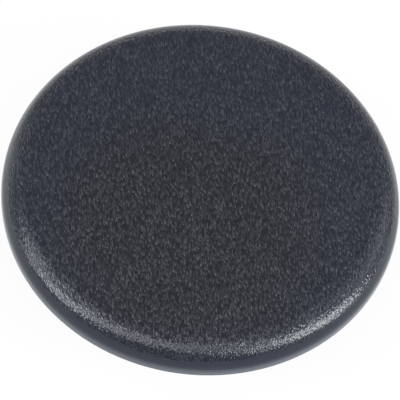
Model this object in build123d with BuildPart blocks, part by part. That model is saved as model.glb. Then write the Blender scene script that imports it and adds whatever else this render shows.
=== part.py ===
from build123d import *

import os
from math import radians, tan

# A snap-in plastic hole plug, moulded in one piece: a round cap with a hollow back and a ring of
# barbed legs. Millimetres. The origin is the centre of the panel's hole, on the panel's face,
# and +Z points at the show face.

# The panel hole that the plug closes
panel_hole_diameter = 25.0
neck_clearance = 0.2  # gap between the legs' necks and the hole, all round

# The cap
cap_overlap = 2.5  # how far the cap covers the panel past the hole's edge
cap_height = 2.35  # panel face to the show face
edge_radius = 1.95  # rounding from the show face to the cap's side
face_wall = 1.3  # plastic behind the show face
groove_width = 1.1  # between the necks and the rim that presses on the panel
groove_bevel = 0.35  # where the groove's outer wall meets the cap's back
rim_bevel = 0.12  # the rim's two edges against the panel

# The snap legs
leg_count = 8
leg_length = 5.6  # panel face to the leg tips
leg_wall = 1.2  # thickness at the neck
leg_root_bevel = 0.4  # inside and outside, where the legs grow out of the cap's back
neck_length = 0.6  # straight neck below the panel face
barb_height = 0.45  # how far the barbs stand out past the hole's edge
barb_depth = 2.4  # panel face to the barbs' crest
barb_radius = 0.4  # rounding of the crest
tip_wall = 0.5  # thickness at the tips, which lean inside the hole's edge
tip_bevel = 0.15  # the tips' outer edges
core_draft = 1.0  # degrees that the legs' inner faces open towards the tips
slot_width = 1.8  # gap between two legs
slot_root_radius = 0.5
leg_corner_radius = 0.9  # the two lower corners of each leg

# What the mould leaves on the cap's back: dents from the ejector pins and the stub of the gate
ejector_count = 4
ejector_diameter = 2.6
ejector_gap = 2.4  # from a dent to the legs
ejector_dent = 0.12
gate_diameter = 1.6
gate_taper = 20.0  # degrees that the stub's side leans in
gate_height = 0.35

corner_share = 0.45  # the most of a wall or a gap that a bevel or fillet at one side of it takes

# Worked out from the sizes above
hole_radius = panel_hole_diameter / 2
neck_radius = hole_radius - neck_clearance
crest_radius = hole_radius + barb_height
cap_radius = hole_radius + cap_overlap
rim_inner_radius = neck_radius + groove_width
back_height = cap_height - face_wall  # panel face up to the cap's back
slot_height = back_height + leg_length
leg_inner_radius = neck_radius - leg_wall
tip_inner_radius = leg_inner_radius + slot_height * tan(radians(core_draft))
tip_outer_radius = tip_inner_radius + tip_wall
root_top = back_height + face_wall / 3  # the legs' roots reach this far into the cap
root_reach = 2 * leg_root_bevel  # and this far past the legs' faces, to carry the bevels
ejector_circle_radius = leg_inner_radius - ejector_gap - ejector_diameter / 2


def fitted(size, *walls):
    return min(size, *(corner_share * wall for wall in walls))


def corner(profile, point):
    return profile.vertices().sort_by_distance(point)[0]


# The cutter for one gap between two legs: round at its root, and flared between the tips
with BuildPart() as leg_slot:
    with BuildSketch(Plane.YZ) as slot_profile:
        with Locations((0, back_height)):
            Rectangle(slot_width, slot_height, align=(Align.CENTER, Align.MAX))
        with Locations((0, -leg_length)):
            mouth_width = slot_width + 4 * leg_corner_radius  # a radius and as much again, each side
            Rectangle(mouth_width, leg_corner_radius, align=(Align.CENTER, Align.MAX))
        for side in (slot_width / 2, -slot_width / 2):
            fillet(corner(slot_profile, (side, back_height)), fitted(slot_root_radius, slot_width))
            fillet(corner(slot_profile, (side, -leg_length)), leg_corner_radius)
    extrude(amount=crest_radius + leg_wall)

with BuildPart() as hole_plug:
    # A ring with the legs' section, which the slots part into legs
    with BuildSketch(Plane.XZ) as leg_section:
        with BuildLine():
            Polyline(
                (leg_inner_radius - root_reach, root_top),
                (leg_inner_radius - root_reach, back_height),
                (leg_inner_radius, back_height),
                (tip_inner_radius, -leg_length),
                (tip_outer_radius, -leg_length),
                (crest_radius, -barb_depth),
                (neck_radius, -neck_length),
                (neck_radius, back_height),
                (neck_radius + root_reach, back_height),
                (neck_radius + root_reach, root_top),
                close=True,
            )
        make_face()
        for root in (leg_inner_radius, neck_radius):
            chamfer(corner(leg_section, (root, back_height)), fitted(leg_root_bevel, groove_width))
        fillet(corner(leg_section, (crest_radius, -barb_depth)), barb_radius)
        chamfer(corner(leg_section, (tip_outer_radius, -leg_length)), fitted(tip_bevel, tip_wall))
    revolve(axis=Axis.Z)
    with PolarLocations(0, leg_count):
        add(leg_slot.part, mode=Mode.SUBTRACT)

    # The cap, over the legs' roots
    with BuildSketch(Plane.XZ) as cap_section:
        with BuildLine():
            Polyline(
                (0, back_height),
                (0, cap_height),
                (cap_radius, cap_height),
                (cap_radius, 0),
                (rim_inner_radius, 0),
                (rim_inner_radius, back_height),
                close=True,
            )
        make_face()
        rim_corner = fitted(rim_bevel, cap_radius - rim_inner_radius, back_height)
        for rim_edge in (cap_radius, rim_inner_radius):
            chamfer(corner(cap_section, (rim_edge, 0)), rim_corner)
        groove_corner = fitted(groove_bevel, groove_width, back_height)
        chamfer(corner(cap_section, (rim_inner_radius, back_height)), groove_corner)
        side_height = cap_height - 2 * rim_corner  # all but a short upright band above the bevel
        fillet(corner(cap_section, (cap_radius, cap_height)), min(edge_radius, side_height))
    revolve(axis=Axis.Z)

    # The ejector pins' dents
    with BuildSketch(Plane.XY.offset(back_height)):
        with PolarLocations(ejector_circle_radius, ejector_count):
            Circle(ejector_diameter / 2)
    extrude(amount=ejector_dent, mode=Mode.SUBTRACT)

    # The gate's stub, rooted as deep as the dents
    with BuildSketch(Plane.XY.offset(back_height + ejector_dent)):
        Circle(gate_diameter / 2)
    extrude(amount=-(ejector_dent + gate_height), taper=gate_taper)

hole_plug.part.label = "hole_plug"
os.makedirs("parts", exist_ok=True)
export_step(hole_plug.part, "parts/hole_plug.step")
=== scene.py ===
import math

import bmesh
import bpy
from mathutils import Matrix, Vector


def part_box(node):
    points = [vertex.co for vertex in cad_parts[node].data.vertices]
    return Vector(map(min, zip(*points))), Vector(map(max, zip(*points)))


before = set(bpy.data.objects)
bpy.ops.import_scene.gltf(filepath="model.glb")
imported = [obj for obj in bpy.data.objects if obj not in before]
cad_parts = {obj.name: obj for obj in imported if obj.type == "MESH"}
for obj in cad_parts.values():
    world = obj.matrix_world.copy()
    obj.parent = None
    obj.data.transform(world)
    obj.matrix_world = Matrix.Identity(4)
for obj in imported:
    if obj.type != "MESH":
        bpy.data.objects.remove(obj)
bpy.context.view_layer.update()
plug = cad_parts["hole_plug"]
plugLow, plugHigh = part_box("hole_plug")
print("plug: loaded,", round((plugHigh[0] - plugLow[0]) * 1000, 1), "mm across")


def addNode(tree, kind, sockets=None, **settings):
    node = tree.nodes.new("ShaderNode" + kind)
    for name, value in settings.items():
        setattr(node, name, value)
    for name, value in (sockets or {}).items():
        node.inputs[name].default_value = value
    return node


def addMath(tree, operation, first, second):
    node = tree.nodes.new("ShaderNodeMath")
    node.operation = operation
    for socket, value in zip(node.inputs, (first, second)):
        if isinstance(value, bpy.types.NodeSocket):
            tree.links.new(value, socket)
        else:
            socket.default_value = value
    return node.outputs[0]


def addRamp(tree, value, start, end, low=0.0, high=1.0):
    ramp = addNode(tree, "MapRange", interpolation_type="SMOOTHSTEP")
    tree.links.new(value, ramp.inputs["Value"])
    for name, number in (("From Min", start), ("From Max", end), ("To Min", low), ("To Max", high)):
        ramp.inputs[name].default_value = number
    return ramp.outputs["Result"]


def addMix(tree, share, first, second):
    mix = addNode(tree, "Mix", data_type="RGBA")  # its colours are sockets 6 and 7, and its result is 2
    tree.links.new(share, mix.inputs[0])
    for socket, colour in ((mix.inputs[6], first), (mix.inputs[7], second)):
        if isinstance(colour, bpy.types.NodeSocket):
            tree.links.new(colour, socket)
        else:
            socket.default_value = colour
    return mix.outputs[2]


def addRadius(tree, place, aside=0.0):  # distance from the Z axis, or from one moved aside along Y
    level = addNode(tree, "Mapping", {"Location": (0.0, aside, 0.0), "Scale": (1.0, 1.0, 0.0)})
    tree.links.new(place, level.inputs["Vector"])
    radius = addNode(tree, "VectorMath", operation="LENGTH")
    tree.links.new(level.outputs[0], radius.inputs[0])
    return radius.outputs["Value"]


# The plug's own plastic, grained on the show face and over its rounded edge, and smooth below. It is a
# near-neutral black in the middle of the face and turns cooler towards the rim. The tips of its grain are
# painted lighter as glints, which leaves the hollows between them darker as painted shade, and the side's
# lower edge is painted lighter as a reflection of the floor. Lengths are in metres
plastic = {
    "middle": (0.0041, 0.0041, 0.0071, 1.0),
    # painted glints: the grain's tips are coloured much lighter than the ground, so the hollows stay
    # darker as painted shade
    "middleTipGlints": (0.0468, 0.0482, 0.0566, 1.0),
    "outer": (0.0059, 0.0080, 0.0192, 1.0),
    "outerTipGlints": (0.0435, 0.0475, 0.0603, 1.0),
    "side": (0.0026, 0.0050, 0.0180, 1.0),
    "under": (0.0049, 0.0054, 0.0098, 1.0),  # the back and the legs
    "lowerEdgeFloorReflection": (0.064, 0.073, 0.096, 1.0),  # painted reflection: the side's lower edge, above the panel, coloured lighter as if it mirrored the white floor
    "edgeFull": 0.20,  # shares of the cap's height that the lower edge's colour goes out between
    "edgeGone": 0.44,
    "middleAside": 0.0042,  # the middle of the colours is this far from the cap's, towards -Y
    "middleRadius": 0.0050,  # inside this all of the colour is the middle's
    "outerRadius": 0.0135,  # and outside this the outer one
    "sideStart": 0.0143,  # radii that the cap's side comes in between
    "sideWhole": 0.0147,
    "cloudSize": 0.006,  # of the patches that the change of colour wanders in
    "cloudReach": 0.005,  # how far it wanders
    "cloudDetail": 2.0,
    "cloudMiddle": 0.5,  # the noise's mean, which moves nothing
    "ior": 1.58,
    "glossTint": (0.92, 0.965, 1.0, 1.0),  # the gloss is slightly cool too
    "hollowRoughness": 0.22,  # between the grain's tips
    "tipRoughness": 0.10,
    "underSmooth": 0.26,  # roughness of the back and the legs, which changes from patch to patch
    "underDull": 0.36,
    "patchSize": 0.0005,
    "patchDetail": 3.0,
    "patchLow": 0.3,  # noise values that the roughness changes between
    "patchHigh": 0.7,
    "patchDepth": 0.04,  # share of the grain's depth
    "sideRoughness": 0.16,
    "grainPitch": 0.00012,  # from one speck to the next, across the grain
    "grainStretch": 3.5,  # how much longer a speck is along it
    "grainTurn": 16.0,  # degrees from Y to the grain's direction
    "grainDepth": 0.00008,
    "roundDepth": 0.43,  # share of that depth on the rounded edge
    "faceStart": 0.9,  # share of the cap's height from which it grows to the whole depth
    "domeShare": 0.65,  # heights of the two kinds of speck
    "speckShare": 0.95,
    "domeSoftness": 0.6,
    "speckDetail": 1.0,
    "tipStart": 0.635,  # grain heights that the tips' colour comes in between
    "tipEnd": 1.31,
    "grainFull": 0.76,  # share of the cap's height above which the grain is whole
    "grainGone": 0.57,  # and under which there is none
}


def makePlastic(size):
    material = bpy.data.materials.new("mouldedPlastic")
    material.use_nodes = True
    tree = material.node_tree
    tree.nodes.clear()
    place = addNode(tree, "TexCoord").outputs["Object"]
    apart = addNode(tree, "SeparateXYZ")
    tree.links.new(place, apart.inputs[0])
    capHeight = plugHigh[2]
    height = apart.outputs["Z"]
    grainMask = addRamp(tree, height, size["grainGone"] * capHeight, size["grainFull"] * capHeight)

    # Specks of two kinds, drawn out along the grain
    pitch = size["grainPitch"]
    fine = addNode(
        tree,
        "Mapping",
        {
            "Rotation": (0.0, 0.0, math.radians(size["grainTurn"])),
            "Scale": (pitch, pitch * size["grainStretch"], pitch),
        },
        vector_type="TEXTURE",
    )
    tree.links.new(place, fine.inputs["Vector"])
    cells = addNode(
        tree, "TexVoronoi", {"Scale": 1.0, "Smoothness": size["domeSoftness"]}, feature="SMOOTH_F1"
    )
    noise = addNode(tree, "TexNoise", {"Scale": 1.0, "Detail": size["speckDetail"]})
    for texture in (cells, noise):
        tree.links.new(fine.outputs[0], texture.inputs["Vector"])
    domes = addMath(tree, "SUBTRACT", 1.0, cells.outputs["Distance"])
    domes = addMath(tree, "MULTIPLY", domes, size["domeShare"])
    specks = addMath(tree, "MULTIPLY", noise.outputs["Fac"], size["speckShare"])
    grain = addMath(tree, "ADD", domes, specks)
    depth = addRamp(tree, height, size["faceStart"] * capHeight, capHeight, size["roundDepth"], 1.0)
    relief = addMath(tree, "MULTIPLY", grain, addMath(tree, "MULTIPLY", grainMask, depth))

    # The back and the legs are satin, and a little uneven
    smooth = addMath(tree, "SUBTRACT", 1.0, grainMask)
    capSide = addRamp(tree, addRadius(tree, place), size["sideStart"], size["sideWhole"])
    side = addMath(tree, "MULTIPLY", smooth, capSide)
    under = addMath(tree, "MULTIPLY", smooth, addMath(tree, "SUBTRACT", 1.0, capSide))
    patches = addNode(tree, "TexNoise", {"Scale": 1 / size["patchSize"], "Detail": size["patchDetail"]})
    tree.links.new(place, patches.inputs["Vector"])
    patchRelief = addMath(tree, "MULTIPLY", patches.outputs["Fac"], size["patchDepth"])
    relief = addMath(tree, "ADD", relief, addMath(tree, "MULTIPLY", patchRelief, under))
    bump = addNode(tree, "Bump", {"Strength": 1.0, "Distance": size["grainDepth"]})
    tree.links.new(relief, bump.inputs["Height"])

    # The change of colour from the middle to the rim
    clouds = addNode(tree, "TexNoise", {"Scale": 1 / size["cloudSize"], "Detail": size["cloudDetail"]})
    tree.links.new(place, clouds.inputs["Vector"])
    wander = addMath(tree, "SUBTRACT", clouds.outputs["Fac"], size["cloudMiddle"])
    wander = addMath(tree, "MULTIPLY", wander, size["cloudReach"])
    distance = addMath(tree, "ADD", addRadius(tree, place, size["middleAside"]), wander)
    outward = addRamp(tree, distance, size["middleRadius"], size["outerRadius"])
    # where the painted glints go: lighter on the grain's tips, with its hollows left darker as painted
    # shade
    glintShare = addRamp(tree, grain, size["tipStart"], size["tipEnd"])
    glintShare = addMath(tree, "MULTIPLY", glintShare, grainMask)
    ground = addMix(
        tree,
        grainMask,
        addMix(tree, under, size["side"], size["under"]),
        addMix(tree, outward, size["middle"], size["outer"]),
    )
    glintColour = addMix(tree, outward, size["middleTipGlints"], size["outerTipGlints"])

    # The side's lower edge, painted lighter as a reflection of the white floor
    floorReflectionShare = addRamp(tree, height, size["edgeFull"] * capHeight, size["edgeGone"] * capHeight, 1.0, 0.0)
    floorReflectionShare = addMath(tree, "MULTIPLY", floorReflectionShare, capSide)
    colour = addMix(tree, floorReflectionShare, addMix(tree, glintShare, ground, glintColour), size["lowerEdgeFloorReflection"])

    shader = addNode(tree, "BsdfPrincipled", {"IOR": size["ior"], "Specular Tint": size["glossTint"]})
    tree.links.new(colour, shader.inputs["Base Color"])
    faceRoughness = addRamp(
        tree, grain, size["tipStart"], size["tipEnd"], size["hollowRoughness"], size["tipRoughness"]
    )
    underRoughness = addRamp(
        tree,
        patches.outputs["Fac"],
        size["patchLow"],
        size["patchHigh"],
        size["underSmooth"],
        size["underDull"],
    )
    roughness = addMath(tree, "MULTIPLY", side, size["sideRoughness"])
    for share, part in ((grainMask, faceRoughness), (under, underRoughness)):
        roughness = addMath(tree, "ADD", roughness, addMath(tree, "MULTIPLY", share, part))
    tree.links.new(roughness, shader.inputs["Roughness"])
    tree.links.new(bump.outputs["Normal"], shader.inputs["Normal"])
    output = addNode(tree, "OutputMaterial")
    tree.links.new(shader.outputs[0], output.inputs["Surface"])
    return material


plug.data.materials[0] = makePlastic(plastic)
print("plastic: grain every", round(plastic["grainPitch"] * 1000, 2), "mm")


# A pale floor under the legs' tips. Seen directly or in the gloss, most of its white is its own light, so
# that it stays white and the shadow on it is faint
floorLook = {"radius": 1.5, "corners": 64, "colour": (0.9, 0.9, 0.9, 1.0), "ownLight": 0.93}


def makeFloor(size):
    shape = bmesh.new()
    bmesh.ops.create_circle(
        shape,
        cap_ends=True,
        segments=size["corners"],
        radius=size["radius"],
        matrix=Matrix.Translation((0.0, 0.0, plugLow[2])),
    )
    floor = bpy.data.objects.new("floor", bpy.data.meshes.new("floor"))
    shape.to_mesh(floor.data)
    shape.free()
    bpy.context.scene.collection.objects.link(floor)
    material = bpy.data.materials.new("paleFloor")
    material.use_nodes = True
    tree = material.node_tree
    tree.nodes.clear()
    paint = addNode(tree, "BsdfDiffuse", {"Color": size["colour"]})
    glow = addNode(tree, "Emission", {"Color": (1.0, 1.0, 1.0, 1.0), "Strength": 1.0})
    rays = addNode(tree, "LightPath")
    seen = rays.outputs["Is Camera Ray"]
    for name in ("Is Glossy Ray", "Is Transmission Ray"):
        seen = addMath(tree, "MAXIMUM", seen, rays.outputs[name])
    blend = addNode(tree, "MixShader")
    tree.links.new(addMath(tree, "MULTIPLY", seen, size["ownLight"]), blend.inputs["Fac"])
    tree.links.new(paint.outputs[0], blend.inputs[1])
    tree.links.new(glow.outputs[0], blend.inputs[2])
    output = addNode(tree, "OutputMaterial")
    tree.links.new(blend.outputs[0], output.inputs["Surface"])
    floor.data.materials.append(material)


makeFloor(floorLook)
print("floor: at", round(plugLow[2] * 1000, 2), "mm")


# Soft lamps: degrees round from X and up from the floor, size across and brightness, where 1 is white
lampReach = 0.5  # metres from the plug
lamps = {
    "rightBox": {"turn": -18, "rise": 28, "across": 0.22, "brightness": 4.3},
    "rightCore": {"turn": -10, "rise": 22, "across": 0.12, "brightness": 10.6},
    "rightLow": {"turn": -14, "rise": 12, "across": 0.14, "brightness": 4.4},
    "rightFill": {"turn": -28, "rise": 30, "across": 0.14, "brightness": 3.2},
    "rightHigh": {"turn": -38, "rise": 38, "across": 0.16, "brightness": 6.5},
    "leftBox": {"turn": -150, "rise": 30, "across": 0.14, "brightness": 10.2},
    "leftLow": {"turn": -168, "rise": 22, "across": 0.14, "brightness": 5.5},
    "leftHigh": {"turn": -138, "rise": 46, "across": 0.16, "brightness": 2.1},
    "topLeft": {"turn": -110, "rise": 60, "across": 0.16, "brightness": 4.4},
    "topRight": {"turn": -70, "rise": 62, "across": 0.16, "brightness": 1.8},
    "leftCard": {"turn": 178, "rise": 46, "across": 0.16, "brightness": 3.7},
    "backLeftCard": {"turn": 152, "rise": 14, "across": 0.20, "brightness": 0.8},
    "backRightCard": {"turn": 26, "rise": 40, "across": 0.24, "brightness": 1.85},
    "backCard": {"turn": 90, "rise": 14, "across": 0.50, "brightness": 0.10},
}
roomLight = 0.38  # the same from all sides


def addLamp(name, size):
    light = bpy.data.lights.new(name, "AREA")
    light.shape = "SQUARE"
    light.size = size["across"]
    light.energy = size["brightness"] * math.pi * size["across"] ** 2  # watts
    lamp = bpy.data.objects.new(name, light)
    turn, rise = math.radians(size["turn"]), math.radians(size["rise"])
    towards = Vector((math.cos(rise) * math.cos(turn), math.cos(rise) * math.sin(turn), math.sin(rise)))
    lamp.location = towards * lampReach
    lamp.rotation_euler = towards.to_track_quat("Z", "Y").to_euler()
    bpy.context.scene.collection.objects.link(lamp)


for name, size in lamps.items():
    addLamp(name, size)
room = bpy.data.worlds.new("room")
room.use_nodes = True
room.node_tree.nodes["Background"].inputs["Color"].default_value = (1.0, 1.0, 1.0, 1.0)
room.node_tree.nodes["Background"].inputs["Strength"].default_value = roomLight
bpy.context.scene.world = room
bpy.context.scene.view_settings.view_transform = "Standard"
print("lamps:", ", ".join(lamps))


cameraPlace = {
    "elevation": 59.4,  # degrees
    "roll": 8.53,  # degrees that the picture is turned
    "distance": 0.225,  # metres
    "target": (-0.00002, -0.00003, -0.00022),
    "sensor": 36.0,  # millimetres across
    "frameWidth": 0.03015,  # metres across the picture at the target
    "nearest": 0.01,  # what is nearer than this isn't seen
}


def addCamera(size):
    camera = bpy.data.objects.new("camera", bpy.data.cameras.new("camera"))
    camera.data.sensor_width = size["sensor"]
    camera.data.lens = size["sensor"] * size["distance"] / size["frameWidth"]
    camera.data.clip_start = size["nearest"]
    rise = math.radians(size["elevation"])
    back = Vector((0.0, -math.cos(rise), math.sin(rise)))
    aim = back.to_track_quat("Z", "Y").to_matrix() @ Matrix.Rotation(math.radians(size["roll"]), 3, "Z")
    camera.location = Vector(size["target"]) + back * size["distance"]
    camera.rotation_euler = aim.to_euler()
    bpy.context.scene.collection.objects.link(camera)
    bpy.context.scene.camera = camera


addCamera(cameraPlace)
print("camera:", round(cameraPlace["distance"], 3), "m away")
